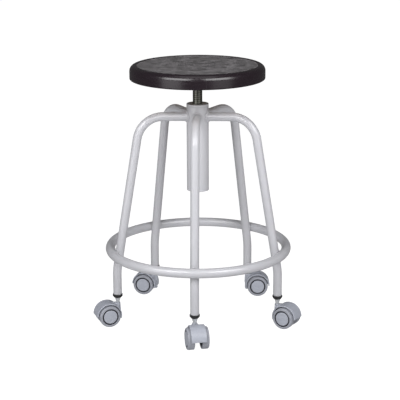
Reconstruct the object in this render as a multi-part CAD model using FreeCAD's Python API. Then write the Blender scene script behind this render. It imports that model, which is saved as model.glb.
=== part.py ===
import FreeCAD, Part
import math
import os

# Machinist stool: a round moulded seat on a screw spindle, a five-legged tube frame
# with a foot ring, and five hooded twin-wheel casters. Sizes are in millimetres.
# The origin is on the floor, under the middle of the hub. The front leg is on -Y.

# Small gaps between pieces
seat_gap = 0.05
running_gap = 0.05
face_gap = 0.3

# Wheels
wheel_diameter = 50.0
wheel_width = 16.0
wheel_spacing = 17.0
tyre_depth = 5.8
tyre_outer_round = 3.6
tyre_inner_round = 1.6
core_rim_wall = 3.4
core_inset = 1.0
core_web = 4.0
core_hub_radius = 8.0
cap_radius = 15.9
cap_thickness = 2.4
cap_round = 1.0
cap_dome = 0.6
cap_groove = 1.4

# Axles
axle_radius = 4.0
axle_hold = 12.0
axle_groove_width = 1.6
axle_groove_depth = 0.5
axle_chamfer = 0.6

# Hoods
caster_trail = 25.0
hood_width = 35.0
hood_wheel_gap = 2.0
hood_wall = 2.8
hood_front_dip = 16.0
hood_edge_round = 1.2
web_thickness = 7.0
axle_boss_radius = 7.4
socket_radius = 5.8
socket_top = 51.4
socket_bottom = 13.0
socket_floor = 3.0
neck_flare = 1.2
neck_width = 9.2
shoulder_width = 21.0
shoulder_drop = 6.4

# Stems
pin_radius = 3.6
stem_cone_height = 11.9
stem_cone_radius = 6.6
stem_thread_radius = 5.0
stem_thread_length = 26.0

# Leg plugs
plug_flange_radius = 11.5
plug_flange_height = 4.6
plug_taper_height = 4.0
plug_nose_radius = 8.4
plug_sleeve_length = 24.0
plug_rib_depth = 0.6
plug_rib_height = 1.6
plug_rib_pitch = 5.0
plug_rib_count = 4

# Legs
leg_count = 5
leg_diameter = 20.0
leg_wall = 1.5
foot_radius = 195.4
shoulder_radius = 134.0
arm_height = 482.0
shoulder_height = 488.7
knee_height = 130.1
shoulder_bend = 58.0
knee_bend = 150.0

# Foot ring
ring_height = 170.9
ring_diameter = 21.3
ring_wall = 1.6
ring_bite = 3.3

# Hub and thread bush
hub_diameter = 50.8
hub_wall = 3.0
hub_length = 197.7
hub_above_arms = 24.1
bush_flange_height = 5.5
bush_depth = 35.0
bush_chamfer = 0.8

# Spindle and its stop
spindle_radius = 11.0
spindle_end_radius = 8.0
guide_height = 8.0
guide_above_hub_end = 45.6
stop_plate_radius = 18.0
stop_plate_thickness = 4.0
stop_bolt_radius = 4.0
stop_bolt_length = 18.0
stop_bolt_head_flats = 13.0
stop_bolt_head_height = 5.3

# Seat
seat_radius = 154.4
seat_above_hub = 62.9
seat_thickness = 32.0
seat_top_round = 13.0
seat_bottom_round = 3.0
seat_inset_radius = 138.4
seat_inset_depth = 1.2
board_radius = 128.0
board_thickness = 12.0
board_recess = 6.0
plate_radius = 72.0
plate_thickness = 5.0
plate_boss_radius = 17.0
plate_boss_height = 9.0
plate_boss_chamfer = 1.5
screw_circle = 55.0
screw_count = 4
screw_radius = 3.0
screw_length = 15.0
screw_head_flats = 10.0
screw_head_height = 4.0
nut_radius = 4.4
nut_height = 9.0
nut_flange_radius = 9.0
nut_flange_thickness = 1.4

# Headings of the casters round their stems, in degrees from +X, front leg first
caster_headings = [-76.5, 202.5, 167.5, 2.5, -28.5]

# Sizes that follow from the ones above
wheel_radius = wheel_diameter / 2
wheel_inner_face = wheel_spacing / 2
wheel_outer_face = wheel_inner_face + wheel_width
core_radius = wheel_radius - tyre_depth - seat_gap
axle_reach = wheel_inner_face + axle_hold
hood_inner_radius = wheel_radius + hood_wheel_gap
hood_outer_radius = hood_inner_radius + hood_wall
stem_shoulder = socket_top + face_gap
plug_bottom = stem_shoulder + stem_cone_height
leg_end = plug_bottom + plug_taper_height + plug_flange_height
leg_radius = leg_diameter / 2
leg_bore = leg_radius - leg_wall
leg_slope = math.atan2(foot_radius - shoulder_radius, shoulder_height - knee_height)
leg_at_ring = shoulder_radius + (shoulder_height - ring_height) * math.tan(leg_slope)
ring_tube_radius = ring_diameter / 2
ring_contact = leg_radius + ring_tube_radius + seat_gap
ring_radius = leg_at_ring + ring_contact / math.cos(leg_slope) - ring_bite
hub_radius = hub_diameter / 2
hub_top = arm_height + hub_above_arms
hub_bottom = hub_top - hub_length
guide_bottom = hub_bottom + guide_above_hub_end
seat_bottom = hub_top + seat_above_hub
arm_rise = math.atan2(shoulder_height - arm_height, shoulder_radius - hub_radius)
arm_start = arm_height - hub_radius * math.tan(arm_rise)
hub_bore = hub_radius - hub_wall
bush_top = hub_top + bush_flange_height
bush_bottom = hub_top - bush_depth
spindle_shoulder = guide_bottom + guide_height + face_gap
stop_plate_top = guide_bottom - face_gap
stop_plate_bottom = stop_plate_top - stop_plate_thickness
board_bottom = seat_bottom + board_recess
plate_bottom = board_bottom - plate_thickness
boss_bottom = plate_bottom - plate_boss_height
seat_top = seat_bottom + seat_thickness
seat_face = seat_top - seat_inset_depth


def rounded_wire(corners):
    """Closed wire in the XZ plane through corners (x, z, corner radius)."""
    count = len(corners)
    starts = []
    ends = []
    middles = []
    for i, (x, z, radius) in enumerate(corners):
        here = FreeCAD.Vector(x, 0, z)
        before = FreeCAD.Vector(corners[i - 1][0], 0, corners[i - 1][1]) - here
        after_corner = corners[(i + 1) % count]
        after = FreeCAD.Vector(after_corner[0], 0, after_corner[1]) - here
        before.normalize()
        after.normalize()
        half = before.getAngle(after) / 2
        reach = radius / math.tan(half)
        starts.append(here + before * reach)
        ends.append(here + after * reach)
        inward = before + after
        if inward.Length > 0:
            inward.normalize()
        middles.append(here + inward * (radius / math.sin(half) - radius))
    edges = []
    for i in range(count):
        if corners[i][2] > 0:
            edges.append(Part.Arc(starts[i], middles[i], ends[i]).toShape())
        following = starts[(i + 1) % count]
        if ends[i].distanceToPoint(following) > 1e-6:
            edges.append(Part.LineSegment(ends[i], following).toShape())
    return Part.Wire(edges)


def turned(corners):
    """Solid of revolution about Z from a profile of (radius, height, corner radius)."""
    face = Part.Face(rounded_wire(corners))
    return face.revolve(FreeCAD.Vector(0, 0, 0), FreeCAD.Vector(0, 0, 1), 360)


def plate_profile(corners, thickness):
    """Flat plate, its outline in the XZ plane, centred on Y = 0."""
    face = Part.Face(rounded_wire(corners))
    face.translate(FreeCAD.Vector(0, -thickness / 2, 0))
    return face.extrude(FreeCAD.Vector(0, thickness, 0))


def rod(radius, bottom, top):
    """Plain upright cylinder between two heights."""
    return Part.makeCylinder(radius, top - bottom, FreeCAD.Vector(0, 0, bottom))


def cross_rod(radius, x, z, near, far):
    """Cylinder along Y from near to far, centred on x, z."""
    direction = FreeCAD.Vector(0, 1, 0)
    return Part.makeCylinder(radius, far - near, FreeCAD.Vector(x, near, z), direction)


def hexagon(flats, bottom, height):
    """Hexagonal prism about Z."""
    corner = flats / 2 / math.cos(math.pi / 6)
    points = []
    for i in range(7):
        angle = math.radians(60 * i)
        points.append(FreeCAD.Vector(corner * math.cos(angle), corner * math.sin(angle), bottom))
    return Part.Face(Part.makePolygon(points)).extrude(FreeCAD.Vector(0, 0, height))


def moved(shape, x, y, z, heading=0.0):
    """Copy of a shape turned about Z by heading, then moved."""
    copy = shape.copy()
    copy.rotate(FreeCAD.Vector(0, 0, 0), FreeCAD.Vector(0, 0, 1), heading)
    copy.translate(FreeCAD.Vector(x, y, z))
    return copy


def around(shape, radius, count, first=0.0):
    """Copies of a shape on a circle about Z."""
    copies = []
    for i in range(count):
        angle = math.radians(first + 360.0 * i / count)
        copies.append(moved(shape, radius * math.cos(angle), radius * math.sin(angle), 0))
    return copies


def leg_azimuth(index):
    """Direction of a leg in degrees: front first, then clockwise seen from above."""
    return -90.0 - 360.0 * index / leg_count


def foot_place(index):
    """Where the axis of a caster's stem stands on the floor."""
    angle = math.radians(leg_azimuth(index))
    return foot_radius * math.cos(angle), foot_radius * math.sin(angle)


def save(shape, node):
    shape.exportStep("parts/" + node + ".step")


# Hub tube with the threaded bush pressed into its top
def make_hub_tube():
    return rod(hub_radius, hub_bottom, hub_top).cut(rod(hub_bore, hub_bottom - 1, hub_top + 1))


def make_thread_bush():
    bore = spindle_radius + running_gap
    sleeve = hub_bore - seat_gap
    return turned([
        (bore, bush_bottom, 0),
        (sleeve, bush_bottom, bush_chamfer),
        (sleeve, hub_top, 0),
        (hub_radius, hub_top, 0),
        (hub_radius, bush_top, bush_chamfer),
        (bore, bush_top, 0),
    ])


# Legs: one bent tube each, with a coped end that is welded to the hub
def bend(before, corner, after, radius):
    """Tangent points and middle of a bend of one radius at a corner of the path."""
    back = before - corner
    back.normalize()
    ahead = after - corner
    ahead.normalize()
    half = back.getAngle(ahead) / 2
    reach = radius / math.tan(half)
    inward = back + ahead
    inward.normalize()
    middle = corner + inward * (radius / math.sin(half) - radius)
    return corner + back * reach, middle, corner + ahead * reach


def leg_path():
    """Centre line in the XZ plane: arm, shoulder bend, slope, knee bend, foot."""
    start = FreeCAD.Vector(0, 0, arm_start)
    shoulder = FreeCAD.Vector(shoulder_radius, 0, shoulder_height)
    knee = FreeCAD.Vector(foot_radius, 0, knee_height)
    end = FreeCAD.Vector(foot_radius, 0, leg_end)
    arm_end, shoulder_middle, slope_start = bend(start, shoulder, knee, shoulder_bend)
    slope_end, knee_middle, foot_start = bend(shoulder, knee, end, knee_bend)
    edges = [
        Part.LineSegment(start, arm_end).toShape(),
        Part.Arc(arm_end, shoulder_middle, slope_start).toShape(),
        Part.LineSegment(slope_start, slope_end).toShape(),
        Part.Arc(slope_end, knee_middle, foot_start).toShape(),
        Part.LineSegment(foot_start, end).toShape(),
    ]
    return Part.Wire(edges)


def bent_rod(radius):
    start = FreeCAD.Vector(0, 0, arm_start)
    along = FreeCAD.Vector(math.cos(arm_rise), 0, math.sin(arm_rise))
    section = Part.Wire(Part.makeCircle(radius, start, along))
    return leg_path().makePipeShell([section], True, False)


def make_leg():
    """Bent tube, coped to the hub and notched where the foot ring crosses it."""
    tube = bent_rod(leg_radius).cut(bent_rod(leg_bore))
    cope = rod(hub_radius + seat_gap, hub_bottom, bush_top)
    notch = ring_torus(ring_tube_radius + seat_gap)
    return tube.cut(cope.fuse(notch))


# Foot ring: a closed tube that runs round the outside of the legs
def ring_torus(radius):
    return Part.makeTorus(ring_radius, radius, FreeCAD.Vector(0, 0, ring_height))


def make_foot_ring():
    return ring_torus(ring_tube_radius).cut(ring_torus(ring_tube_radius - ring_wall))


# Leg plugs: a ribbed sleeve inside the tube and a tapered collar below it
def make_leg_plug():
    bore = stem_thread_radius + seat_gap
    sleeve = leg_bore - seat_gap
    flange_bottom = plug_bottom + plug_taper_height
    profile = [
        (bore, plug_bottom, 0),
        (plug_nose_radius, plug_bottom, 0.6),
        (plug_flange_radius, flange_bottom, 1.2),
        (plug_flange_radius, leg_end, 0.8),
        (sleeve, leg_end, 0),
    ]
    for i in range(plug_rib_count):
        base = leg_end + plug_rib_pitch * (i + 0.5)
        groove = sleeve - plug_rib_depth
        profile.append((sleeve, base, 0))
        profile.append((groove, base, 0))
        profile.append((groove, base + plug_rib_height, 0))
        profile.append((sleeve, base + plug_rib_height, 0))
    profile.append((sleeve, leg_end + plug_sleeve_length, 0.6))
    profile.append((bore, leg_end + plug_sleeve_length, 0))
    return turned(profile)


# Caster stems: the thread in the plug, the bright cone, and the pin in the hood
def make_caster_stem():
    pin_end = socket_bottom + socket_floor + face_gap
    thread_top = plug_bottom + stem_thread_length
    return turned([
        (0, pin_end, 0),
        (pin_radius, pin_end, 0.8),
        (pin_radius, stem_shoulder, 0),
        (stem_cone_radius, plug_bottom - 1.2, 0.5),
        (stem_cone_radius, plug_bottom, 0),
        (stem_thread_radius, plug_bottom, 0),
        (stem_thread_radius, thread_top, 0.8),
        (0, thread_top, 0),
    ])


# Caster hood: curved cover over both wheels, middle web, socket for the stem
def hood_sector(inner, outer, width):
    """Ring sector about the axle, from the trailing edge over the top to the front."""
    centre = FreeCAD.Vector(caster_trail, 0, wheel_radius)

    def on_circle(radius, degrees):
        angle = math.radians(degrees)
        return centre + FreeCAD.Vector(radius * math.cos(angle), 0, radius * math.sin(angle))

    last = 180.0 + hood_front_dip
    edges = [
        Part.Arc(on_circle(outer, 0), on_circle(outer, last / 2), on_circle(outer, last)).toShape(),
        Part.LineSegment(on_circle(outer, last), on_circle(inner, last)).toShape(),
        Part.Arc(on_circle(inner, last), on_circle(inner, last / 2), on_circle(inner, 0)).toShape(),
        Part.LineSegment(on_circle(inner, 0), on_circle(outer, 0)).toShape(),
    ]
    face = Part.Face(Part.Wire(edges))
    face.translate(FreeCAD.Vector(0, -width / 2, 0))
    return face.extrude(FreeCAD.Vector(0, width, 0))


def side_arcs(shape, radius):
    """The two long curved edges of the hood, at a radius from the axle."""
    found = []
    for edge in shape.Edges:
        if edge.Curve.TypeId == "Part::GeomCircle" and abs(edge.Curve.Radius - radius) < 1e-4:
            found.append(edge)
    return found


def hood_shoulders(top):
    """Front outline of the fairing: narrow at the neck, sloping out to the cover."""
    slope = (shoulder_width - neck_width) / 2 / shoulder_drop
    top_half = neck_width / 2 - slope * (top - socket_top)
    points = []
    for side, height, half in (
        (-1, wheel_radius, shoulder_width / 2),
        (-1, socket_top - shoulder_drop, shoulder_width / 2),
        (-1, top, top_half),
        (1, top, top_half),
        (1, socket_top - shoulder_drop, shoulder_width / 2),
        (1, wheel_radius, shoulder_width / 2),
        (-1, wheel_radius, shoulder_width / 2),
    ):
        points.append(FreeCAD.Vector(-caster_trail, side * half, height))
    return Part.Face(Part.makePolygon(points)).extrude(FreeCAD.Vector(3 * caster_trail, 0, 0))


def make_caster_hood():
    cover = hood_sector(hood_inner_radius, hood_outer_radius, hood_width)
    cover = cover.makeFillet(hood_edge_round, side_arcs(cover, hood_outer_radius))

    # Fairing from the crown of the cover to the neck round the stem, with sloping sides
    crown = wheel_radius + hood_outer_radius
    fairing = plate_profile([
        (0, wheel_radius, 0),
        (caster_trail, wheel_radius, 0),
        (caster_trail, crown - hood_edge_round, 0),
        (caster_trail * 0.7, crown - hood_edge_round, 4.0),
        (0, socket_top - 0.6, 0),
    ], shoulder_width)
    fairing = fairing.common(hood_shoulders(crown))
    flare_height = socket_top - wheel_radius - socket_radius
    neck = Part.makeCone(
        socket_radius + neck_flare,
        socket_radius,
        flare_height,
        FreeCAD.Vector(0, 0, socket_top - flare_height),
    )
    outer = cover.fuse([fairing, neck])
    well_side = web_thickness / 2
    for side in (-1, 1):
        near = min(side * well_side, side * hood_width)
        far = max(side * well_side, side * hood_width)
        outer = outer.cut(cross_rod(hood_inner_radius, caster_trail, wheel_radius, near, far))

    # Web between the wheels, with the axle boss and the socket
    web = hood_sector(0.5, hood_inner_radius + hood_wall / 2, web_thickness)
    brace = plate_profile([
        (0, socket_bottom + 2.0, 0),
        (caster_trail, wheel_radius - axle_boss_radius, 0),
        (caster_trail, wheel_radius + 1.0, 0),
        (0, wheel_radius + 1.0, 0),
    ], web_thickness)
    boss_face = wheel_inner_face - face_gap
    boss = cross_rod(axle_boss_radius, caster_trail, wheel_radius, -boss_face, boss_face)
    socket = turned([
        (0, socket_bottom, 0),
        (socket_radius, socket_bottom, 2.0),
        (socket_radius, socket_top, 1.0),
        (0, socket_top, 0),
    ])
    hood = outer.fuse([web, brace, boss, socket]).removeSplitter()
    hood = hood.cut(rod(pin_radius + running_gap, socket_bottom + socket_floor, socket_top + 1))
    axle_hole = axle_radius + seat_gap
    return hood.cut(cross_rod(axle_hole, caster_trail, wheel_radius, -hood_width, hood_width))


# Axle: a plain pin with a snap groove near each end
def make_axle():
    groove_near = axle_reach - 3 * axle_groove_width
    groove_far = groove_near + axle_groove_width
    groove = axle_radius - axle_groove_depth
    pin = turned([
        (0, -axle_reach, 0),
        (axle_radius - axle_chamfer, -axle_reach, 0),
        (axle_radius, -axle_reach + axle_chamfer, 0),
        (axle_radius, -groove_far, 0),
        (groove, -groove_far, 0),
        (groove, -groove_near, 0),
        (axle_radius, -groove_near, 0),
        (axle_radius, groove_near, 0),
        (groove, groove_near, 0),
        (groove, groove_far, 0),
        (axle_radius, groove_far, 0),
        (axle_radius, axle_reach - axle_chamfer, 0),
        (axle_radius - axle_chamfer, axle_reach, 0),
        (0, axle_reach, 0),
    ])
    return on_axle(pin, 1)


def on_axle(shape, side):
    """Lay a turned shape on the axle; its height becomes distance from the middle."""
    copy = shape.copy()
    copy.rotate(FreeCAD.Vector(0, 0, 0), FreeCAD.Vector(1, 0, 0), -90.0 * side)
    copy.translate(FreeCAD.Vector(caster_trail, 0, wheel_radius))
    return copy


# Wheel: grey tyre, dark core, and a domed cap over the axle's end
def make_tyre():
    bore = core_radius + seat_gap
    return turned([
        (bore, wheel_inner_face, 0.5),
        (wheel_radius, wheel_inner_face, tyre_inner_round),
        (wheel_radius, wheel_outer_face, tyre_outer_round),
        (bore, wheel_outer_face, 0.5),
    ])


def make_core():
    bore = axle_radius + running_gap
    cap_seat = wheel_outer_face - cap_thickness
    groove_floor = wheel_outer_face - cap_groove
    cap_bore = cap_radius + seat_gap
    web_inner = cap_seat - core_web
    bore_end = axle_reach + face_gap
    rim_inner = core_radius - core_rim_wall
    return turned([
        (bore, wheel_inner_face, 0),
        (core_hub_radius, wheel_inner_face, 0),
        (core_hub_radius, web_inner, 0),
        (rim_inner, web_inner, 0),
        (rim_inner, wheel_inner_face + core_inset, 0),
        (core_radius, wheel_inner_face + core_inset, 0),
        (core_radius, groove_floor, 0),
        (cap_bore, groove_floor, 0),
        (cap_bore, cap_seat, 0),
        (0, cap_seat, 0),
        (0, bore_end, 0),
        (bore, bore_end, 0),
    ])


def make_cap():
    bottom = wheel_outer_face - cap_thickness
    edge = wheel_outer_face
    crown = edge + cap_dome
    flat = turned([
        (0, bottom, 0),
        (cap_radius, bottom, 0),
        (cap_radius, edge, cap_round),
        (0, edge, 0),
    ])
    face_radius = cap_radius - cap_round
    dome_radius = (face_radius ** 2 + cap_dome ** 2) / (2 * cap_dome)
    dome = Part.makeSphere(dome_radius, FreeCAD.Vector(0, 0, crown - dome_radius))
    return flat.fuse(dome.common(rod(face_radius, edge - cap_round, crown + 1))).removeSplitter()


# Spindle, and what keeps it from being screwed right out
def make_spindle():
    top = board_bottom
    thread_end = stop_plate_top + stop_bolt_length - stop_plate_thickness
    bore = stop_bolt_radius + seat_gap
    return turned([
        (bore, stop_plate_top, 0),
        (spindle_end_radius, stop_plate_top, 0),
        (spindle_end_radius, spindle_shoulder, 0),
        (spindle_radius, spindle_shoulder, 0.8),
        (spindle_radius, top, 0),
        (0, top, 0),
        (0, thread_end, 0),
        (bore, thread_end, 0),
    ])


def make_guide_ring():
    bore = spindle_end_radius + running_gap
    outside = hub_bore - running_gap
    guide_top = guide_bottom + guide_height
    return turned([
        (bore, guide_bottom, 0),
        (outside, guide_bottom, 0.8),
        (outside, guide_top, 0.8),
        (bore, guide_top, 0),
    ])


def make_stop_plate():
    plate = rod(stop_plate_radius, stop_plate_bottom, stop_plate_top)
    return plate.cut(rod(stop_bolt_radius + seat_gap, stop_plate_bottom - 1, stop_plate_top + 1))


def make_stop_bolt():
    head = hexagon(stop_bolt_head_flats, stop_plate_bottom - stop_bolt_head_height, stop_bolt_head_height)
    shank_top = stop_plate_bottom + stop_bolt_length - face_gap
    return head.fuse(rod(stop_bolt_radius, stop_plate_bottom, shank_top))


# Seat: moulded pad, board inside it, and the steel plate that the spindle carries
def make_seat_pad():
    recess = board_radius + seat_gap
    board_top = board_bottom + board_thickness
    return turned([
        (recess, seat_bottom, 1.5),
        (seat_radius, seat_bottom, seat_bottom_round),
        (seat_radius, seat_top, seat_top_round),
        (seat_inset_radius, seat_top, 0.6),
        (seat_inset_radius, seat_face, 0.4),
        (0, seat_face, 0),
        (0, board_top, 0),
        (recess, board_top, 0),
    ])


def make_seat_board():
    board_top = board_bottom + board_thickness
    board = rod(board_radius, board_bottom, board_top)
    barrel = rod(nut_radius + seat_gap, board_bottom - 1, board_top + 1)
    flange = rod(nut_flange_radius + seat_gap, board_top - nut_flange_thickness, board_top + 1)
    return board.cut(around(barrel.fuse(flange), screw_circle, screw_count, 45.0))


def make_seat_plate():
    boss = plate_boss_radius
    bore = spindle_radius + seat_gap
    plate = turned([
        (bore, boss_bottom, 0),
        (boss, boss_bottom, plate_boss_chamfer),
        (boss, plate_bottom, 3.0),
        (plate_radius, plate_bottom, 1.0),
        (plate_radius, board_bottom, 0),
        (bore, board_bottom, 0),
    ])
    hole = rod(screw_radius + face_gap, plate_bottom - 1, board_bottom + 1)
    return plate.cut(around(hole, screw_circle, screw_count, 45.0))


def make_seat_screws():
    head = hexagon(screw_head_flats, plate_bottom - screw_head_height, screw_head_height)
    screw = head.fuse(rod(screw_radius, plate_bottom, plate_bottom + screw_length))
    return Part.makeCompound(around(screw, screw_circle, screw_count, 45.0))


def make_seat_nuts():
    board_top = board_bottom + board_thickness
    barrel = rod(nut_radius, board_top - nut_height, board_top)
    flange = rod(nut_flange_radius, board_top - nut_flange_thickness, board_top)
    nut = barrel.fuse(flange).cut(rod(screw_radius + seat_gap, board_bottom, board_top + 1))
    return Part.makeCompound(around(nut, screw_circle, screw_count, 45.0))


def make_casters():
    """Save the five casters, each turned to its own heading."""
    hood = make_caster_hood()
    axle = make_axle()
    tyre = make_tyre()
    core = make_core()
    cap = make_cap()
    for index in range(leg_count):
        x, y = foot_place(index)
        heading = caster_headings[index]
        label = str(index + 1)
        save(moved(hood, x, y, 0, heading), "caster_hood_" + label)
        save(moved(axle, x, y, 0, heading), "caster_axle_" + label)
        for name, side in (("left", 1), ("right", -1)):
            place = label + "_" + name
            save(moved(on_axle(tyre, side), x, y, 0, heading), "tyre_" + place)
            save(moved(on_axle(core, side), x, y, 0, heading), "wheel_core_" + place)
            save(moved(on_axle(cap, side), x, y, 0, heading), "wheel_cap_" + place)


def make_frame():
    """Save the welded frame, its plugs and the caster stems."""
    save(make_hub_tube(), "hub_tube")
    save(make_thread_bush(), "thread_bush")
    save(make_foot_ring(), "foot_ring")
    leg = make_leg()
    plug = make_leg_plug()
    stem = make_caster_stem()
    plugs = []
    stems = []
    for index in range(leg_count):
        x, y = foot_place(index)
        save(moved(leg, 0, 0, 0, leg_azimuth(index)), "leg_" + str(index + 1))
        plugs.append(moved(plug, x, y, 0))
        stems.append(moved(stem, x, y, 0))
    save(Part.makeCompound(plugs), "leg_plugs")
    save(Part.makeCompound(stems), "caster_stems")


def make_seat():
    """Save the seat, the spindle and the stop at its lower end."""
    save(make_seat_pad(), "seat_pad")
    save(make_seat_board(), "seat_board")
    save(make_seat_plate(), "seat_plate")
    save(make_seat_screws(), "seat_screws")
    save(make_seat_nuts(), "seat_nuts")
    save(make_spindle(), "spindle")
    save(make_guide_ring(), "guide_ring")
    save(make_stop_plate(), "stop_plate")
    save(make_stop_bolt(), "stop_bolt")


os.makedirs("parts", exist_ok=True)
make_frame()
make_seat()
make_casters()
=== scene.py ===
# %% [markdown]
# # A machinist stool
#
# The stool has a moulded seat on a screw spindle, a frame of bent and welded tube, a
# foot ring, and five casters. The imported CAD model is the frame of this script: it gives
# every size and place. Here the stool gets what CAD left out, such as the thread, the
# weld beads, the grain of the seat and the finishes.

# %% Load the CAD frame
import math

import bpy
from mathutils import Matrix, Vector


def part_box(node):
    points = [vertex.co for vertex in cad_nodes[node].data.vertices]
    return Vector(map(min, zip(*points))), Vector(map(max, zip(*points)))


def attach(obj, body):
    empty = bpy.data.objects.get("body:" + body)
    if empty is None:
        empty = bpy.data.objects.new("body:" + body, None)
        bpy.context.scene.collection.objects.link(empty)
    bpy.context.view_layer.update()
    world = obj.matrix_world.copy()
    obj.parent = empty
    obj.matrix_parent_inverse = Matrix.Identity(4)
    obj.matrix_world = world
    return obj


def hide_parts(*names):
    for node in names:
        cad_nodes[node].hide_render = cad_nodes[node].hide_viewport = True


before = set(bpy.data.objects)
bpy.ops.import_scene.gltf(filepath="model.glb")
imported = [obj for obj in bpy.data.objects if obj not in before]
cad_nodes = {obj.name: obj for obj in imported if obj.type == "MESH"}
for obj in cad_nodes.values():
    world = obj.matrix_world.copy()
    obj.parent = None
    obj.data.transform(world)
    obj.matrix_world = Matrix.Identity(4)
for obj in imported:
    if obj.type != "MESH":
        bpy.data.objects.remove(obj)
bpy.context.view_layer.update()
MM = 0.001
LEG_COUNT = 5

# %% [markdown]
# ## The camera
#
# The photograph was taken with a long lens from above the seat's height, looking slightly
# down. A long lens keeps the far casters nearly as large as the near ones. The camera
# stands a little to the right of the front leg, so the front leg isn't quite in line with
# the hub. The turn, pitch and roll are applied as three rotations in that order.

# %% Place the camera
camera_distance = 2.954
camera_height = 1.0793
camera_azimuth = math.radians(2.49)
camera_heading = math.radians(2.40)
camera_pitch = math.radians(15.09)
camera_roll = math.radians(-0.25)
sensor_width = 36.0
picture_width = 400.0
focal_length_in_pixels = 1314.1

camera_data = bpy.data.cameras.new("photo_camera")
camera_data.sensor_width = sensor_width
camera_data.lens = focal_length_in_pixels / picture_width * sensor_width
camera = bpy.data.objects.new("photo_camera", camera_data)
bpy.context.scene.collection.objects.link(camera)
camera.matrix_world = (
    Matrix.Translation((
        camera_distance * math.sin(camera_azimuth),
        -camera_distance * math.cos(camera_azimuth),
        camera_height,
    ))
    @ Matrix.Rotation(camera_heading, 4, "Z")
    @ Matrix.Rotation(math.pi / 2 - camera_pitch, 4, "X")
    @ Matrix.Rotation(camera_roll, 4, "Z")
)
bpy.context.scene.camera = camera
print("lens:", round(camera_data.lens, 1), "mm")

# %% [markdown]
# ## The studio
#
# A product like this is lit by two wide soft boxes, left and right of the camera. Each
# tube then gets a bright line, and the rim of the seat gets two bright streaks. Two dim
# cards stand low beside them and give the rim its weaker glow below the streaks. A weak
# light above brings out the top of the seat. Every light is an area light that looks at
# the middle of the stool, so one function makes them all.

# %% A soft box
light_target = Vector((0.0, 0.0, 0.40))


def soft_box(name, azimuth, elevation, distance, width, height, power):
    """Area light that looks at the middle of the stool, in degrees, metres and watts."""
    turn = math.radians(azimuth)
    rise = math.radians(elevation)
    direction = Vector((
        math.sin(turn) * math.cos(rise),
        -math.cos(turn) * math.cos(rise),
        math.sin(rise),
    ))
    light = bpy.data.lights.new(name, "AREA")
    light.shape = "RECTANGLE"
    light.size = width
    light.size_y = height
    light.energy = power
    lamp = bpy.data.objects.new(name, light)
    lamp.location = light_target + direction * distance
    lamp.rotation_euler = (-direction).to_track_quat("-Z", "Y").to_euler()
    bpy.context.scene.collection.objects.link(lamp)


# %% Lights and a dim world
bpy.context.scene.view_settings.view_transform = "Standard"

studio_lights = {
    # name: azimuth, elevation, distance, width, height, power
    "soft_box_left": (-33.0, 32.0, 1.7, 1.25, 0.9, 26.0),
    "soft_box_right": (38.0, 32.0, 1.7, 1.2, 0.9, 26.0),
    "low_card_left": (-40.0, -1.0, 1.7, 1.0, 0.6, 3.4),
    "low_card_right": (42.0, -2.0, 1.7, 1.0, 0.6, 1.7),
    "top_light": (0.0, 78.0, 2.0, 1.4, 1.4, 6.0),
}
for light_name, setting in studio_lights.items():
    soft_box(light_name, *setting)

world_strength = 0.10
world = bpy.data.worlds.new("studio_world")
bpy.context.scene.world = world
world.use_nodes = True
background = world.node_tree.nodes["Background"]
background.inputs["Color"].default_value = (1.0, 1.0, 1.0, 1.0)
background.inputs["Strength"].default_value = world_strength
print("lights:", len(studio_lights), "world strength:", world_strength)

# %% [markdown]
# Floor and wall glow with a plain white of their own, so the ground of the picture is
# white wherever the camera looks. The floor also lights the tubes from below, as a white
# table does. Neither shows in a reflection, because the dark rim would turn grey, and the
# world is dim for the same reason. The wall is one ring of faces round the floor, for
# views from low down, and gives the stool no light.

# %% Floor and wall
floor_size = 30.0
wall_radius = 0.9 * floor_size
wall_height = 20.0
wall_sides = 64


def studio_piece(name, points, faces):
    """Plain mesh that belongs to the studio and shows in no reflection."""
    mesh = bpy.data.meshes.new(name)
    mesh.from_pydata(points, [], faces)
    piece = bpy.data.objects.new(name, mesh)
    bpy.context.scene.collection.objects.link(piece)
    piece.visible_glossy = False
    return piece


floor_corners = [(-floor_size, -floor_size, 0.0), (floor_size, -floor_size, 0.0)]
floor_corners += [(floor_size, floor_size, 0.0), (-floor_size, floor_size, 0.0)]
floor = studio_piece("studio_floor", floor_corners, [(0, 1, 2, 3)])

wall_points = []
wall_faces = []
for side in range(wall_sides):
    angle = 2 * math.pi * side / wall_sides
    foot = (wall_radius * math.cos(angle), wall_radius * math.sin(angle))
    wall_points += [(*foot, 0.0), (*foot, wall_height)]
    here = 2 * side
    following = 2 * ((side + 1) % wall_sides)
    wall_faces.append((here, here + 1, following + 1, following))
wall = studio_piece("studio_wall", wall_points, wall_faces)
wall.visible_diffuse = False
print("floor:", 2 * floor_size, "m wide, wall:", len(wall_faces), "faces")


# %% [markdown]
# ## A small language for finishes
#
# Every finish here is a node tree, and node trees written out link by link are hard to
# read. A small class wraps a socket, so that masks and heights can be written as sums and
# products. Another one wraps a material and gives any node by its type. Only what changes
# over the surface goes through nodes; a plain number is set on the shader itself.

# %% Sockets that can be added and multiplied
class Signal:
    """An output socket of a shader node that can be used in sums and products."""

    def __init__(self, finish, socket):
        self.finish = finish
        self.socket = socket

    def _math(self, operation, first, second=0.0):
        return self.finish.node("ShaderNodeMath", {"operation": operation}, {0: first, 1: second})

    def __add__(self, other):
        return self._math("ADD", self, other)

    __radd__ = __add__

    def __mul__(self, other):
        return self._math("MULTIPLY", self, other)

    __rmul__ = __mul__

    def __sub__(self, other):
        return self._math("SUBTRACT", self, other)

    def __rsub__(self, other):
        return self._math("SUBTRACT", other, self)

    def __abs__(self):
        return self._math("ABSOLUTE", self)

    def __pow__(self, other):
        return self._math("POWER", self, other)


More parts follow.
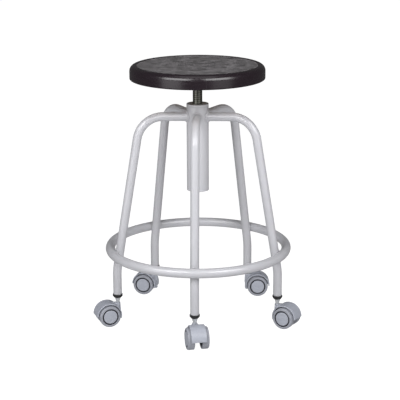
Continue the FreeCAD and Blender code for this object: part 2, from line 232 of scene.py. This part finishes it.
# %% A material built from short calls
class Finish:
    """A material with one Principled shader."""

    def __init__(self, name, color, **constants):
        self.material = bpy.data.materials.new(name)
        self.material.use_nodes = True
        self.material.diffuse_color = (*color, 1.0)
        self.tree = self.material.node_tree
        self.shader = self.tree.nodes["Principled BSDF"]
        self.shader.inputs["Base Color"].default_value = (*color, 1.0)
        for socket_name, value in constants.items():
            self.shader.inputs[socket_name.replace("_", " ")].default_value = value

    def node(self, kind, settings=None, inputs=None, output=0):
        made = self.tree.nodes.new(kind)
        for key, value in (settings or {}).items():
            if key == "stops":
                self._set_stops(made.color_ramp, value)
            else:
                setattr(made, key, value)
        for key, value in (inputs or {}).items():
            if isinstance(value, Signal):
                self.tree.links.new(value.socket, made.inputs[key])
            else:
                made.inputs[key].default_value = value
        return Signal(self, made.outputs[output])

    @staticmethod
    def _set_stops(ramp, stops):
        while len(ramp.elements) < len(stops):
            ramp.elements.new(0.5)
        for element, (position, level) in zip(ramp.elements, stops):
            element.position = position
            element.color = (level, level, level, 1.0)

    def place(self, scale=(1.0, 1.0, 1.0)):
        """Object coordinates, which are the row frame's metres."""
        spot = self.node("ShaderNodeTexCoord", output="Object")
        if scale == (1.0, 1.0, 1.0):
            return spot
        return self.node("ShaderNodeMapping", {}, {"Vector": spot, "Scale": scale})

    def axis(self, letter):
        return self.node("ShaderNodeSeparateXYZ", {}, {0: self.place()}, output=letter)

    def radius(self):
        """Distance from the spindle's axis."""
        across = self.axis("X")
        along = self.axis("Y")
        return (across * across + along * along) ** 0.5

    def noise(self, scale, detail=3.0, roughness=0.5, place=None):
        return self.node(
            "ShaderNodeTexNoise",
            {},
            {
                "Vector": place or self.place(),
                "Scale": scale,
                "Detail": detail,
                "Roughness": roughness,
            },
        )

    def cells(self, scale):
        return self.node("ShaderNodeTexVoronoi", {}, {"Vector": self.place(), "Scale": scale})

    def ramp(self, signal, *stops):
        return self.node("ShaderNodeValToRGB", {"stops": stops}, {"Fac": signal})

    def near(self, signal, centre, width):
        """Mask that is 1 at one value of a signal and falls to 0 at the given width."""
        away = abs(signal - centre) * (1.0 / width)
        return self.ramp(away, (0.0, 1.0), (1.0, 0.0))

    def above(self, signal, level, width):
        """Mask that rises from 0 to 1 just above one value of a signal."""
        return self.ramp((signal - level) * (1.0 / width), (0.0, 0.0), (1.0, 1.0))

    def blend(self, factor, first, second):
        """Mix of two colours, each a colour or a Signal."""
        ready = [part if isinstance(part, Signal) else (*part, 1.0) for part in (first, second)]
        return self.node(
            "ShaderNodeMix",
            {"data_type": "RGBA"},
            {"Factor": factor, 6: ready[0], 7: ready[1]},
            output=2,
        )

    def feed(self, socket_name, signal):
        self.tree.links.new(signal.socket, self.shader.inputs[socket_name])

    def bump(self, height, distance, strength=1.0):
        """Relief: a height of 0 to 1 stands for the given distance in metres."""
        lifted = self.node(
            "ShaderNodeBump",
            {},
            {"Height": height, "Distance": distance, "Strength": strength},
        )
        self.feed("Normal", lifted)


def srgb(red, green, blue):
    """Linear colour from the 0 to 255 levels that a picture shows."""
    def linear(level):
        part = level / 255.0
        return part / 12.92 if part <= 0.04045 else ((part + 0.055) / 1.055) ** 2.4
    return linear(red), linear(green), linear(blue)


def paint(node_name, finish):
    """Give a CAD node its finish."""
    piece = cad_nodes[node_name]
    piece.data.materials.clear()
    piece.data.materials.append(finish.material)


# %% The studio's finish
floor_finish = Finish("studio_floor", (0.1, 0.1, 0.1), Roughness=0.9)
floor_finish.shader.inputs["Emission Color"].default_value = (1.0, 1.0, 1.0, 1.0)
floor_finish.shader.inputs["Emission Strength"].default_value = 1.0
floor.data.materials.append(floor_finish.material)
wall.data.materials.append(floor_finish.material)

# %% [markdown]
# ## The painted tubes
#
# The frame is powder coated. The powder melts into a skin that is smooth from a distance
# but has a faint orange peel close up, so a low wide noise goes into the bump and another
# into the roughness. A thin clear coat on the shader keeps the bright lines on the tubes
# sharp over that. The coat lies a little thicker here and there, which keeps a large plain
# surface from looking like plastic.

# %% Powder coat on the frame
powder_light = srgb(167, 167, 171)
powder_dark = srgb(160, 160, 165)
orange_peel_scale = 420.0
orange_peel_depth = 0.12 * MM

powder_coat = Finish(
    "powder_coat_grey",
    powder_light,
    Roughness=0.34,
    Coat_Weight=0.4,
    Coat_Roughness=0.10,
)
coat_patches = powder_coat.noise(9.0, detail=2.0)
powder_coat.feed("Base Color", powder_coat.blend(coat_patches, powder_dark, powder_light))
powder_coat.feed("Roughness", powder_coat.noise(60.0) * 0.10 + 0.30)
powder_coat.bump(powder_coat.noise(orange_peel_scale, detail=1.0), orange_peel_depth, 0.35)

frame_nodes = ["hub_tube", "foot_ring"] + [f"leg_{index}" for index in range(1, LEG_COUNT + 1)]
for node_name in frame_nodes:
    paint(node_name, powder_coat)
print("powder coated:", len(frame_nodes), "nodes")

# %% [markdown]
# ## The bush in the top of the hub
#
# The bush is painted with the frame. Its top is painted darker: in part grease wiped
# from the spindle, in part painted shade of the seat above it. The seam between its
# collar and the hub is a painted dark line, painted shade of the gap there with some
# dirt in it. Both are masks on height: one above the collar's top edge, one at the seam.

# %% Bush finish
hub_low, hub_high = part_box("hub_tube")
bush_low, bush_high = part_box("thread_bush")
seam_width = 0.7 * MM
grease_and_shade_edge = 0.4 * MM
grease_and_shade_fade = 0.3 * MM

bush_finish = Finish("powder_coat_bush", powder_light, Roughness=0.36)
height = bush_finish.axis("Z")
# Painted shade: the top above the collar's edge is painted darker, for the seat's shade on it together
# with grease.
greased_and_shaded = bush_finish.above(height, bush_high.z - grease_and_shade_edge, grease_and_shade_fade)
# Painted shade: a dark line at the seam between collar and hub, for the shade in the gap there, with
# some dirt.
seam_shade_and_dirt = bush_finish.near(height, hub_high.z, seam_width)
clean = bush_finish.blend(bush_finish.noise(9.0, detail=2.0), powder_dark, powder_light)
wiped_and_shaded = bush_finish.blend(greased_and_shaded * 0.6, clean, srgb(120, 120, 118))
bush_finish.feed("Base Color", bush_finish.blend(seam_shade_and_dirt * 0.8, wiped_and_shaded, srgb(70, 70, 70)))
bush_finish.feed("Roughness", bush_finish.noise(80.0) * 0.12 + 0.28)
bush_finish.bump(bush_finish.noise(orange_peel_scale, detail=1.0), orange_peel_depth, 0.3)
paint("thread_bush", bush_finish)

# %% [markdown]
# ## Turned pieces
#
# The seat and the core of the spindle are round about the stool's axis, so both are a
# profile turned about Z. One function takes points of radius and height, closes the
# poles, and marks the edges sharp where the surface breaks. Rounded corners come from
# another one, which gives points on an arc in place of a corner.

# %% Profile and lathe
def rounded_outline(corners, arc_steps):
    """Points round an outline of (radius, height, corner round), sharp where round is 0."""
    points = []
    for index, (across, up, corner_round) in enumerate(corners):
        here = Vector((across, up))
        if corner_round <= 0.0:
            points.append(here)
            continue
        before = (Vector(corners[index - 1][:2]) - here).normalized()
        after = (Vector(corners[(index + 1) % len(corners)][:2]) - here).normalized()
        half = before.angle(after) / 2
        reach = corner_round / math.tan(half)
        centre = here + (before + after).normalized() * (corner_round / math.sin(half))
        first = here + before * reach - centre
        sweep = first.angle_signed(here + after * reach - centre)
        for step in range(arc_steps + 1):
            turn = Matrix.Rotation(-sweep * step / arc_steps, 2)
            points.append(centre + turn @ first)
    return points


def turned_mesh(name, outline, segments):
    """Closed mesh from an outline in the plane of radius and height, turned about Z."""
    vertices = []
    faces = []
    rings = []
    for point in outline:
        first = len(vertices)
        if point.x < 1e-7:
            vertices.append((0.0, 0.0, point.y))
            rings.append([first] * segments)
            continue
        for step in range(segments):
            angle = 2 * math.pi * step / segments
            vertices.append((point.x * math.cos(angle), point.x * math.sin(angle), point.y))
        rings.append(list(range(first, first + segments)))
    for index, ring in enumerate(rings):
        following = rings[(index + 1) % len(rings)]
        if ring[0] == ring[1] and following[0] == following[1]:
            continue
        for step in range(segments):
            beside = (step + 1) % segments
            corners = [ring[step], ring[beside], following[beside], following[step]]
            faces.append(list(dict.fromkeys(corners)))
    mesh = bpy.data.meshes.new(name)
    mesh.from_pydata(vertices, [], faces)
    mesh.shade_smooth()
    mesh.set_sharp_from_angle(angle=math.radians(35.0))
    return mesh


def set_down(name, mesh, body, finish):
    """Put a finished mesh into the scene, on the body that carries it."""
    piece = bpy.data.objects.new(name, mesh)
    bpy.context.scene.collection.objects.link(piece)
    if finish:
        mesh.materials.clear()
        mesh.materials.append(finish.material)
    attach(piece, body)
    return piece


# %% [markdown]
# ## The seat
#
# The seat is foam with its own moulded skin. The rim is as glossy as the mould was, and
# the top is recessed by about a millimetre behind a fine step and grained, so that nobody
# slides on it. The pad is turned from one profile. A shallow dish and a faint ring mark
# the top, as the mould left them.

# %% Seat pad
pad_low, pad_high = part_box("seat_pad")
board_low, board_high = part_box("seat_board")
seat_radius = pad_high.x
recess_radius = board_high.x + 0.05 * MM
rim_shoulder = 13.0 * MM
rim_bottom_round = 3.0 * MM
inset_radius = seat_radius - 16.0 * MM
inset_depth = 1.2 * MM
dish_depth = 1.5 * MM
mould_ring_radius = 0.60 * inset_radius
mould_ring_height = 0.35 * MM
mould_ring_width = 3.0 * MM

inset_level = pad_high.z - inset_depth
seat_corners = [
    (recess_radius, pad_low.z, 1.5 * MM),
    (seat_radius, pad_low.z, rim_bottom_round),
    (seat_radius, pad_high.z, rim_shoulder),
    (inset_radius, pad_high.z, 0.6 * MM),
    (inset_radius, inset_level, 0.4 * MM),
]
seat_outline = rounded_outline(
    seat_corners
    + [(0.0, inset_level, 0.0), (0.0, board_high.z, 0.0), (recess_radius, board_high.z, 0.0)],
    16,
)
top_centre = seat_outline.index(Vector((0.0, inset_level)))
top_points = []
top_steps = 80
for step in range(1, top_steps):
    distance = inset_radius * (1.0 - step / top_steps)
    dish = dish_depth * (1.0 - (distance / inset_radius) ** 2)
    ring = mould_ring_height * math.exp(-((distance - mould_ring_radius) / mould_ring_width) ** 2)
    top_points.append(Vector((distance, inset_level - dish + ring)))
seat_outline[top_centre] = Vector((0.0, inset_level - dish_depth))
seat_outline[top_centre:top_centre] = top_points
seat_mesh = turned_mesh("seat_pad_skin", seat_outline, 256)
print("seat pad:", len(seat_mesh.polygons), "faces, radius", round(seat_radius / MM, 1), "mm")

# %% [markdown]
# The rim is a very dark aubergine, glossy with fine wipe marks. The wipe marks run round
# the rim, so their noise is stretched across the height. The two halves of the mould
# left a seam near the front, which is a thin ridge: a mask where one straight line
# through the axis crosses the rim. The top has pebbled grain, from a Voronoi pattern of
# small cells over a fine noise. Use has rubbed it unevenly, so blotches and fine specks
# mix two greys, and the mould ring is rubbed a little paler.

# %% Seat finishes
seam_azimuth = math.radians(-80.5)
seam_half_width = 0.7 * MM
seam_height = 0.22 * MM
grain_height = 0.5 * MM
ring_mark_width = 2.5 * mould_ring_width
rim_dark = srgb(21, 14, 19)
rim_worn = srgb(29, 22, 27)

seat_gloss = Finish("seat_rim_skin", rim_dark, Roughness=0.2)
wipe_marks = seat_gloss.noise(55.0, detail=6.0, roughness=0.65, place=seat_gloss.place((1.0, 1.0, 6.0)))
seat_gloss.feed("Base Color", seat_gloss.blend(wipe_marks, rim_dark, rim_worn))
seat_gloss.feed("Roughness", wipe_marks * 0.20 + 0.15)
seam_distance = (
    seat_gloss.axis("X") * math.sin(seam_azimuth)
    - seat_gloss.axis("Y") * math.cos(seam_azimuth)
)
seam_ridge = seat_gloss.near(seam_distance, 0.0, seam_half_width)
seat_gloss.bump(seam_ridge + seat_gloss.noise(900.0, detail=2.0) * 0.12, seam_height, 0.8)

seat_grain = Finish("seat_top_grain", srgb(84, 81, 83), Roughness=0.6)
pebbles = seat_grain.cells(520.0)
rubbed = seat_grain.noise(45.0, detail=4.0, roughness=0.75)
specks = seat_grain.noise(240.0)
blotches = seat_grain.ramp(rubbed * 0.8 + specks * 0.2, (0.40, 0.0), (0.60, 1.0))
marked = seat_grain.near(seat_grain.radius(), mould_ring_radius, ring_mark_width)
mottled = seat_grain.blend(blotches, srgb(62, 60, 61), srgb(110, 107, 109))
seat_grain.feed("Base Color", seat_grain.blend(marked * 0.3, mottled, srgb(128, 126, 127)))
seat_grain.feed("Roughness", blotches * 0.2 + 0.46)
seat_grain.bump(pebbles * 0.8 + seat_grain.noise(1500.0, detail=2.0) * 0.4, grain_height, 0.7)

# %% Rim and top on the pad
seat_mesh.materials.append(seat_gloss.material)
seat_mesh.materials.append(seat_grain.material)
grained = 0
for face in seat_mesh.polygons:
    on_top = face.center.z > board_high.z + 1.0 * MM
    inside = math.hypot(face.center.x, face.center.y) < inset_radius - 0.5 * MM
    if on_top and inside:
        face.material_index = 1
        grained += 1
seat_pad = set_down("seat_pad_skin", seat_mesh, "seat", None)
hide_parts("seat_pad")
print("grained faces on top:", grained)

# %% [markdown]
# ## Recipes: Geometry Nodes built in the script
#
# A thread and a row of weld ripples both follow a path, which is what Geometry Nodes are
# good at. A recipe is one tree with named inputs. It runs on an object, the result is
# kept as a plain mesh, and the modifier is gone before the piece gets its body. A named
# input is set by the identifier of its socket, because names needn't be unique.

# %% Recipe helper
class Recipe:
    """A Geometry Nodes tree with named sizes, built from short calls."""

    def __init__(self, name, sizes):
        self.tree = bpy.data.node_groups.new(name, "GeometryNodeTree")
        interface = self.tree.interface
        interface.new_socket("Geometry", in_out="INPUT", socket_type="NodeSocketGeometry")
        interface.new_socket("Geometry", in_out="OUTPUT", socket_type="NodeSocketGeometry")
        self.identifiers = {}
        for label, kind in sizes.items():
            socket = interface.new_socket(label, in_out="INPUT", socket_type=kind)
            self.identifiers[label] = socket.identifier
        self.given = self.tree.nodes.new("NodeGroupInput")
        self.result = self.tree.nodes.new("NodeGroupOutput")

    def step(self, kind, settings=None, **inputs):
        """Add a node; a keyword with _ for a space names each socket."""
        made = self.tree.nodes.new(kind)
        for key, value in (settings or {}).items():
            setattr(made, key, value)
        for label, value in inputs.items():
            self.join(value, made.inputs[label.replace("_", " ")])
        return made

    def join(self, value, socket):
        if isinstance(value, bpy.types.Node):
            value = value.outputs[0]
        if isinstance(value, bpy.types.NodeSocket):
            self.tree.links.new(value, socket)
        else:
            socket.default_value = value

    def size(self, label):
        return self.given.outputs[label]

    def finish(self, geometry, finish):
        """End in plain mesh with its material."""
        real = self.step("GeometryNodeRealizeInstances", Geometry=geometry)
        smooth = self.step("GeometryNodeSetShadeSmooth", Geometry=real)
        dressed = self.step("GeometryNodeSetMaterial", Geometry=smooth, Material=finish.material)
        self.join(dressed, self.result.inputs["Geometry"])


def grown_mesh(name, recipe, path_mesh=None, **sizes):
    """Run a recipe and return its result as a plain mesh."""
    holder = bpy.data.objects.new(name, path_mesh or bpy.data.meshes.new(name + "_path"))
    bpy.context.scene.collection.objects.link(holder)
    modifier = holder.modifiers.new("recipe", "NODES")
    modifier.node_group = recipe.tree
    for label, value in sizes.items():
        modifier[recipe.identifiers[label.replace("_", " ")]] = value
    evaluated = holder.evaluated_get(bpy.context.evaluated_depsgraph_get())
    mesh = bpy.data.meshes.new_from_object(evaluated)
    mesh.name = name
    mesh.set_sharp_from_angle(angle=math.radians(35.0))
    holder.modifiers.clear()
    bpy.data.objects.remove(holder)
    return mesh


# %% [markdown]
# ## The spindle and its thread
#
# The spindle is a steel bar with a coarse right-hand thread of 5 mm pitch. The thread is
# a ridge that climbs along a spiral, and the bar under it is turned to the thread's root.
# In the recipe the spiral carries a four-sided ridge profile. The steel is dark and oily,
# and its colour darkens towards the root of the thread, so the colour follows the
# distance from the axis and the roughness follows a stain.

# %% Spindle sizes and steel
spindle_low, spindle_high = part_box("spindle")
plate_low, plate_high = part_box("seat_plate")
guide_low, guide_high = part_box("guide_ring")
thread_pitch = 5.0 * MM
thread_depth = 1.5 * MM
thread_crest_radius = spindle_high.x - 0.03 * MM
thread_root_radius = thread_crest_radius - thread_depth
spindle_end_radius = 8.0 * MM
stop_bolt_radius = 4.05 * MM
stop_bolt_end = spindle_low.z + 14.0 * MM
thread_bottom = guide_high.z + 4.0 * MM
thread_top = plate_low.z - 4.0 * MM

spindle_steel = Finish("spindle_oiled_steel", srgb(120, 121, 113), Roughness=0.4, Metallic=1.0)
depth_mask = spindle_steel.above(spindle_steel.radius(), thread_root_radius, thread_depth)
stain = spindle_steel.noise(140.0, detail=4.0, roughness=0.6)
worn_steel = spindle_steel.blend(stain, srgb(104, 105, 97), srgb(158, 158, 150))
spindle_steel.feed("Base Color", spindle_steel.blend(depth_mask, srgb(52, 52, 47), worn_steel))
spindle_steel.feed("Roughness", stain * 0.25 + 0.28)
spindle_steel.bump(spindle_steel.noise(700.0, detail=2.0), 0.08 * MM, 0.4)

# %% Thread recipe
thread_recipe = Recipe(
    "screw_thread",
    {
        "Turns": "NodeSocketFloat",
        "Radius": "NodeSocketFloat",
        "Height": "NodeSocketFloat",
        "Root width": "NodeSocketFloat",
        "Crest width": "NodeSocketFloat",
        "Depth": "NodeSocketFloat",
    },
)
spiral = thread_recipe.step(
    "GeometryNodeCurveSpiral",
    Resolution=48,
    Rotations=thread_recipe.size("Turns"),
    Start_Radius=thread_recipe.size("Radius"),
    End_Radius=thread_recipe.size("Radius"),
    Height=thread_recipe.size("Height"),
    Reverse=True,
)
upright = thread_recipe.step("GeometryNodeSetCurveNormal", {"mode": "Z_UP"}, Curve=spiral)
ridge = thread_recipe.step(
    "GeometryNodeCurvePrimitiveQuadrilateral",
    {"mode": "TRAPEZOID"},
    Bottom_Width=thread_recipe.size("Root width"),
    Top_Width=thread_recipe.size("Crest width"),
    Height=thread_recipe.size("Depth"),
    Offset=0.0,
)
facing_out = thread_recipe.step(
    "GeometryNodeTransform",
    Geometry=ridge,
    Rotation=(0.0, 0.0, math.pi / 2),
)
wound = thread_recipe.step(
    "GeometryNodeCurveToMesh",
    Curve=upright,
    Profile_Curve=facing_out,
    Fill_Caps=True,
)
thread_recipe.finish(wound, spindle_steel)

# %% Wind the thread and turn the bar under it
thread_length = thread_top - thread_bottom
thread_mesh = grown_mesh(
    "spindle_thread",
    thread_recipe,
    Turns=thread_length / thread_pitch,
    Radius=thread_root_radius + thread_depth / 2,
    Height=thread_length,
    Root_width=thread_pitch * 0.8,
    Crest_width=thread_pitch * 0.35,
    Depth=thread_depth,
)
thread_mesh.transform(Matrix.Translation((0.0, 0.0, thread_bottom)))
thread_radii = [math.hypot(vertex.co.x, vertex.co.y) for vertex in thread_mesh.vertices]
print("thread radius:", round(min(thread_radii) / MM, 2), "to", round(max(thread_radii) / MM, 2), "mm")

bar_outline = rounded_outline(
    [
        (stop_bolt_radius, spindle_low.z, 0.0),
        (spindle_end_radius, spindle_low.z, 0.0),
        (spindle_end_radius, guide_high.z + 0.3 * MM, 0.0),
        (spindle_high.x, guide_high.z + 0.3 * MM, 0.8 * MM),
        (spindle_high.x, thread_bottom, 0.0),
        (thread_root_radius, thread_bottom + thread_depth, 0.0),
        (thread_root_radius, thread_top - thread_depth, 0.0),
        (spindle_high.x, thread_top, 0.0),
        (spindle_high.x, spindle_high.z, 0.0),
        (0.0, spindle_high.z, 0.0),
        (0.0, stop_bolt_end, 0.0),
        (stop_bolt_radius, stop_bolt_end, 0.0),
    ],
    4,
)
bar_mesh = turned_mesh("spindle_bar", bar_outline, 64)
spindle_bar = set_down("spindle_bar", bar_mesh, "seat", spindle_steel)
set_down("spindle_thread", thread_mesh, "seat", spindle_steel)
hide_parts("spindle")
print("thread:", round(thread_length / thread_pitch, 1), "turns,", len(thread_mesh.polygons), "faces")

# %% [markdown]
# ## Weld beads
#
# A welder lays a bead as a row of overlapping pools. Paint covers it later, so the bead
# has the frame's colour and only its ripples show. Each path below is where two tubes
# meet, worked out from their radii. The recipe lays flattened balls along the path at a
# fixed spacing, a little larger or smaller each time.

# %% Weld recipe
weld_recipe = Recipe(
    "weld_bead",
    {
        "Spacing": "NodeSocketFloat",
        "Pool radius": "NodeSocketFloat",
        "Seed": "NodeSocketInt",
    },
)
path = weld_recipe.step("GeometryNodeMeshToCurve", Mesh=weld_recipe.given.outputs["Geometry"])
pools = weld_recipe.step(
    "GeometryNodeCurveToPoints",
    {"mode": "LENGTH"},
    Curve=path,
    Length=weld_recipe.size("Spacing"),
)
pool = weld_recipe.step(
    "GeometryNodeMeshIcoSphere",
    Radius=weld_recipe.size("Pool radius"),
    Subdivisions=2,
)
spread = weld_recipe.tree.nodes.new("FunctionNodeRandomValue")
spread.data_type = "FLOAT_VECTOR"
spread.inputs["Min"].default_value = (0.86, 0.86, 0.55)
spread.inputs["Max"].default_value = (1.12, 1.12, 0.75)
weld_recipe.join(weld_recipe.size("Seed"), spread.inputs["Seed"])
laid = weld_recipe.step(
    "GeometryNodeInstanceOnPoints",
    Points=pools,
    Instance=pool,
    Rotation=pools.outputs["Rotation"],
    Scale=spread,
)
weld_recipe.finish(laid, powder_coat)

# %% [markdown]
# Where an arm meets the hub, the path is the curve that two crossing cylinders share: a
# point goes round the arm, and its distance along the arm is what brings it onto the
# hub's wall. Where a leg meets the foot ring, the tubes only bite into each other a
# little, so the path is a small loop round the bite.

# %% Weld paths
leg_radius = 10.0 * MM
hub_radius = hub_high.x
shoulder_radius = 134.0 * MM
shoulder_height = 488.7 * MM
arm_height = 482.0 * MM
foot_radius = 195.4 * MM
knee_height = 130.1 * MM
bead_stand_off = 0.7 * MM
arm_rise = math.atan2(shoulder_height - arm_height, shoulder_radius - hub_radius)
arm_start = arm_height - hub_radius * math.tan(arm_rise)
leg_lean = math.atan2(foot_radius - shoulder_radius, shoulder_height - knee_height)
ring_low, ring_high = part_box("foot_ring")
ring_tube_radius = (ring_high.z - ring_low.z) / 2
ring_level = (ring_high.z + ring_low.z) / 2
ring_radius = ring_high.x - ring_tube_radius
path_points = 48


def leg_azimuth(index):
    """Direction of a leg: the first on -Y, the others clockwise from above."""
    return math.radians(-90.0) - 2 * math.pi * index / LEG_COUNT


def arm_weld_path(azimuth):
    """Closed path round an arm where it meets the hub."""
    points = []
    reach = hub_radius + bead_stand_off
    around = leg_radius + bead_stand_off
    for step in range(path_points):
        angle = 2 * math.pi * step / path_points
        side = around * math.cos(angle)
        up = around * math.sin(angle)
        outward = math.sqrt(reach ** 2 - side ** 2)
        along = (outward + up * math.sin(arm_rise)) / math.cos(arm_rise)
        level = arm_start + along * math.sin(arm_rise) + up * math.cos(arm_rise)
        points.append(Matrix.Rotation(azimuth, 3, "Z") @ Vector((outward, side, level)))
    return points


def ring_weld_path(azimuth):
    """Closed path round the bite of the foot ring into a leg."""
    leg_at_ring = shoulder_radius + (shoulder_height - ring_level) * math.tan(leg_lean)
    apart = (ring_radius - leg_at_ring) * math.cos(leg_lean)
    leg_skin = leg_radius + bead_stand_off * 0.5
    ring_skin = ring_tube_radius + bead_stand_off * 0.5
    widest = math.sqrt(leg_skin ** 2 - (apart - ring_skin) ** 2)
    down = Vector((math.sin(leg_lean), 0.0, -math.cos(leg_lean)))
    outward = Vector((math.cos(leg_lean), 0.0, math.sin(leg_lean)))
    centre = Vector((leg_at_ring, 0.0, ring_level))
    points = []
    for step in range(path_points):
        angle = 2 * math.pi * step / path_points
        side = widest * math.sin(angle)
        proud = math.sqrt(leg_skin ** 2 - side ** 2)
        drop = math.sqrt(max(ring_skin ** 2 - (apart - proud) ** 2, 0.0))
        drop = math.copysign(drop, math.cos(angle))
        spot = centre + outward * proud + down * drop + Vector((0.0, side, 0.0))
        points.append(Matrix.Rotation(azimuth, 3, "Z") @ spot)
    return points


def path_mesh(name, paths):
    """Mesh of closed edge loops, one for each path."""
    vertices = []
    edges = []
    for points in paths:
        first = len(vertices)
        vertices.extend(points)
        count = len(points)
        edges.extend((first + step, first + (step + 1) % count) for step in range(count))
    mesh = bpy.data.meshes.new(name)
    mesh.from_pydata(vertices, edges, [])
    return mesh


# %% Lay the beads
azimuths = [leg_azimuth(index) for index in range(LEG_COUNT)]
arm_welds = grown_mesh(
    "arm_welds",
    weld_recipe,
    path_mesh("arm_weld_paths", [arm_weld_path(azimuth) for azimuth in azimuths]),
    Spacing=1.7 * MM,
    Pool_radius=2.3 * MM,
    Seed=3,
)
ring_welds = grown_mesh(
    "ring_welds",
    weld_recipe,
    path_mesh("ring_weld_paths", [ring_weld_path(azimuth) for azimuth in azimuths]),
    Spacing=1.5 * MM,
    Pool_radius=1.7 * MM,
    Seed=8,
)
set_down("arm_welds", arm_welds, "frame", powder_coat)
set_down("ring_welds", ring_welds, "frame", powder_coat)
print("weld faces:", len(arm_welds.polygons), len(ring_welds.polygons))

# %% [markdown]
# ## Under the seat
#
# Seen from below, the seat shows plywood, a black steel plate and four plated screws. The
# plywood has long grain along one direction, which is a noise that is stretched a lot
# along X. The plate is painted black over rolled steel, so its paint is uneven.

# %% Board, plate, guide and small parts
plywood = Finish("board_plywood", srgb(176, 141, 100), Roughness=0.62)
grain = plywood.noise(38.0, detail=6.0, roughness=0.62, place=plywood.place((0.12, 1.0, 1.0)))
fibres = plywood.noise(420.0, detail=3.0, roughness=0.6, place=plywood.place((0.05, 1.0, 1.0)))
pale_to_dark = plywood.blend(grain, srgb(196, 164, 122), srgb(146, 108, 70))
plywood.feed("Base Color", plywood.blend(fibres * 0.4, pale_to_dark, srgb(120, 86, 54)))
plywood.feed("Roughness", grain * 0.2 + 0.5)
plywood.bump(fibres, 0.15 * MM, 0.5)

black_paint = Finish("plate_black_paint", srgb(32, 32, 33), Roughness=0.4)
brushed = black_paint.noise(30.0, detail=5.0, roughness=0.6)
black_paint.feed("Base Color", black_paint.blend(brushed, srgb(26, 26, 27), srgb(44, 44, 45)))
black_paint.feed("Roughness", brushed * 0.3 + 0.28)
black_paint.bump(black_paint.noise(260.0, detail=2.0), 0.2 * MM, 0.4)

bright_zinc = Finish("bright_zinc", srgb(206, 207, 204), Roughness=0.3, Metallic=1.0)
plating = bright_zinc.noise(90.0, detail=4.0, roughness=0.6)
bright_zinc.feed("Base Color", bright_zinc.blend(plating, srgb(188, 190, 188), srgb(220, 220, 214)))
bright_zinc.feed("Roughness", plating * 0.22 + 0.22)
bright_zinc.bump(bright_zinc.noise(800.0, detail=2.0), 0.06 * MM, 0.4)

guide_nylon = Finish("guide_nylon", srgb(214, 210, 196), Roughness=0.45)
guide_nylon.feed("Roughness", guide_nylon.noise(200.0) * 0.15 + 0.38)
guide_nylon.bump(guide_nylon.noise(500.0, detail=2.0), 0.1 * MM, 0.4)

paint("seat_board", plywood)
paint("seat_plate", black_paint)
paint("stop_plate", black_paint)
paint("guide_ring", guide_nylon)
for node_name in ("seat_screws", "seat_nuts", "stop_bolt"):
    paint(node_name, bright_zinc)

# %% [markdown]
# The caster stems are plated too, but dull from handling. Clean metal shows only what it
# reflects, and here that is mostly dark, so their metallic share is less than a half.

# %% Dull plating on the stems
stem_zinc = Finish("stem_satin_zinc", srgb(206, 208, 210), Roughness=0.4, Metallic=0.45)
haze = stem_zinc.noise(160.0, detail=4.0, roughness=0.6)
stem_zinc.feed("Base Color", stem_zinc.blend(haze, srgb(194, 196, 198), srgb(216, 218, 220)))
stem_zinc.feed("Roughness", haze * 0.2 + 0.3)
stem_zinc.bump(stem_zinc.noise(800.0, detail=2.0), 0.06 * MM, 0.4)
paint("caster_stems", stem_zinc)

# %% [markdown]
# ## Plugs and casters
#
# The plugs are black plastic with a dull moulded skin. Hood and cap are one matt grey
# nylon with a fine spark-eroded texture. The tyre is a darker grey rubber, scuffed all
# over. The core between tyre and cap is black, and shows as a dark ring.

# %% Plastics
plug_plastic = Finish("plug_black_plastic", srgb(30, 30, 31), Roughness=0.5)
plug_marks = plug_plastic.noise(150.0, detail=3.0)
plug_plastic.feed("Base Color", plug_plastic.blend(plug_marks, srgb(24, 24, 25), srgb(40, 40, 41)))
plug_plastic.feed("Roughness", plug_marks * 0.2 + 0.4)
plug_plastic.bump(plug_plastic.noise(900.0, detail=2.0), 0.1 * MM, 0.5)

caster_nylon = Finish("caster_grey_nylon", srgb(143, 146, 156), Roughness=0.48)
speckle = caster_nylon.noise(340.0, detail=3.0, roughness=0.6)
caster_nylon.feed("Base Color", caster_nylon.blend(speckle, srgb(135, 138, 147), srgb(152, 155, 165)))
caster_nylon.feed("Roughness", caster_nylon.noise(70.0) * 0.18 + 0.4)
caster_nylon.bump(caster_nylon.noise(1600.0, detail=2.0), 0.12 * MM, 0.5)

tyre_rubber = Finish("tyre_grey_rubber", srgb(128, 130, 138), Roughness=0.52)
scuffs = tyre_rubber.noise(120.0, detail=5.0, roughness=0.65)
tyre_rubber.feed("Base Color", tyre_rubber.blend(scuffs, srgb(119, 121, 129), srgb(137, 139, 147)))
tyre_rubber.feed("Roughness", scuffs * 0.2 + 0.42)
tyre_rubber.bump(scuffs, 0.15 * MM, 0.4)

core_nylon = Finish("core_black_nylon", srgb(36, 37, 42), Roughness=0.42)
core_marks = core_nylon.noise(160.0, detail=3.0)
core_nylon.feed("Base Color", core_nylon.blend(core_marks, srgb(30, 31, 36), srgb(46, 47, 53)))
core_nylon.feed("Roughness", core_marks * 0.2 + 0.34)
core_nylon.bump(core_nylon.noise(900.0, detail=2.0), 0.1 * MM, 0.4)

# %% Finishes on the casters
paint("leg_plugs", plug_plastic)
painted = 0
for node_name in cad_nodes:
    if node_name.startswith(("caster_hood", "wheel_cap")):
        paint(node_name, caster_nylon)
    elif node_name.startswith("tyre"):
        paint(node_name, tyre_rubber)
    elif node_name.startswith("wheel_core"):
        paint(node_name, core_nylon)
    elif node_name.startswith("caster_axle"):
        paint(node_name, bright_zinc)
    else:
        continue
    painted += 1
print("caster pieces finished:", painted)
